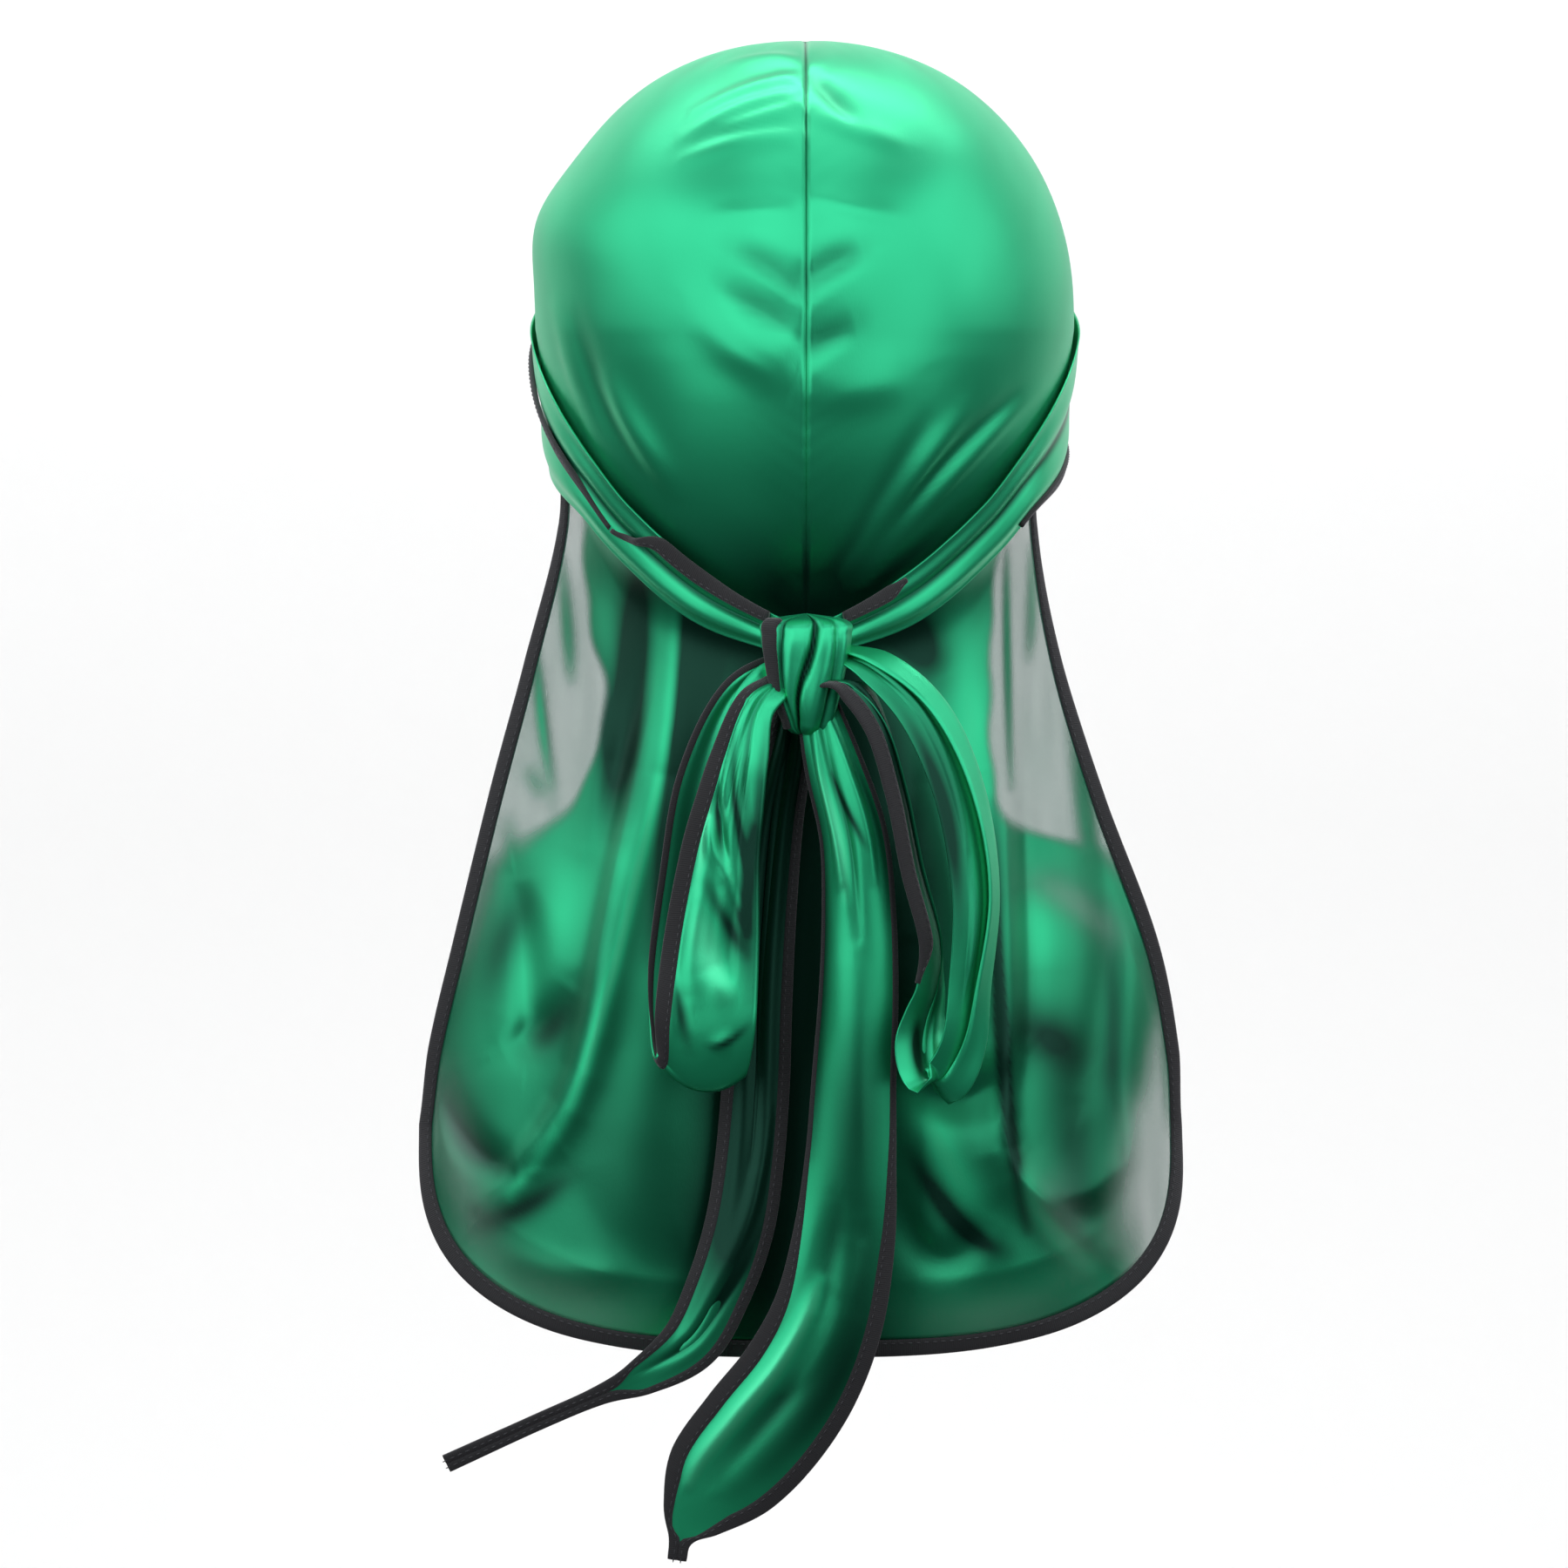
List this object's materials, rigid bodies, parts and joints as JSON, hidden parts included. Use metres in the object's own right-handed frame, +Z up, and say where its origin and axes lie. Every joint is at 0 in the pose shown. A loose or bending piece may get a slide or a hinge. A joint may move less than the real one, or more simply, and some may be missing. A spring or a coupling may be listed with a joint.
{
  "type": "durag",
  "caption": "Satin head wrap with a seamed crown, a cape over the neck and long straps tied in a bow at the back.",
  "frame": {"origin": "the point inside the crown that bears on the top of the head, on the centre seam", "axes": "+Z up, +Y the way the wearer looks, so the bow and the cape are at -Y, and +X to the wearer's right"},
  "size_m": [0.2266, 0.2145, 0.4345],
  "materials": {
    "satin": "smooth green satin with a soft sheen",
    "binding": "matt black woven tape"
  },
  "bodies": {
    "root": {"crown_left": "satin", "crown_right": "satin", "cape": "satin", "strap_left": "satin", "strap_right": "satin", "knot": "satin", "loop_left": "satin", "loop_right": "satin", "tail_left": "satin", "tail_right": "satin", "front_binding": "binding", "cape_binding": "binding", "strap_left_tape_upper": "binding", "strap_left_tape_outer": "binding", "strap_right_tape_upper": "binding", "strap_right_tape_outer": "binding", "knot_tape": "binding", "loop_left_tape_left": "binding", "loop_right_tape_left": "binding", "tail_left_tape_left": "binding", "tail_left_tape_right": "binding", "tail_right_tape_left": "binding", "tail_right_tape_right": "binding"}
  },
  "joints": []
}
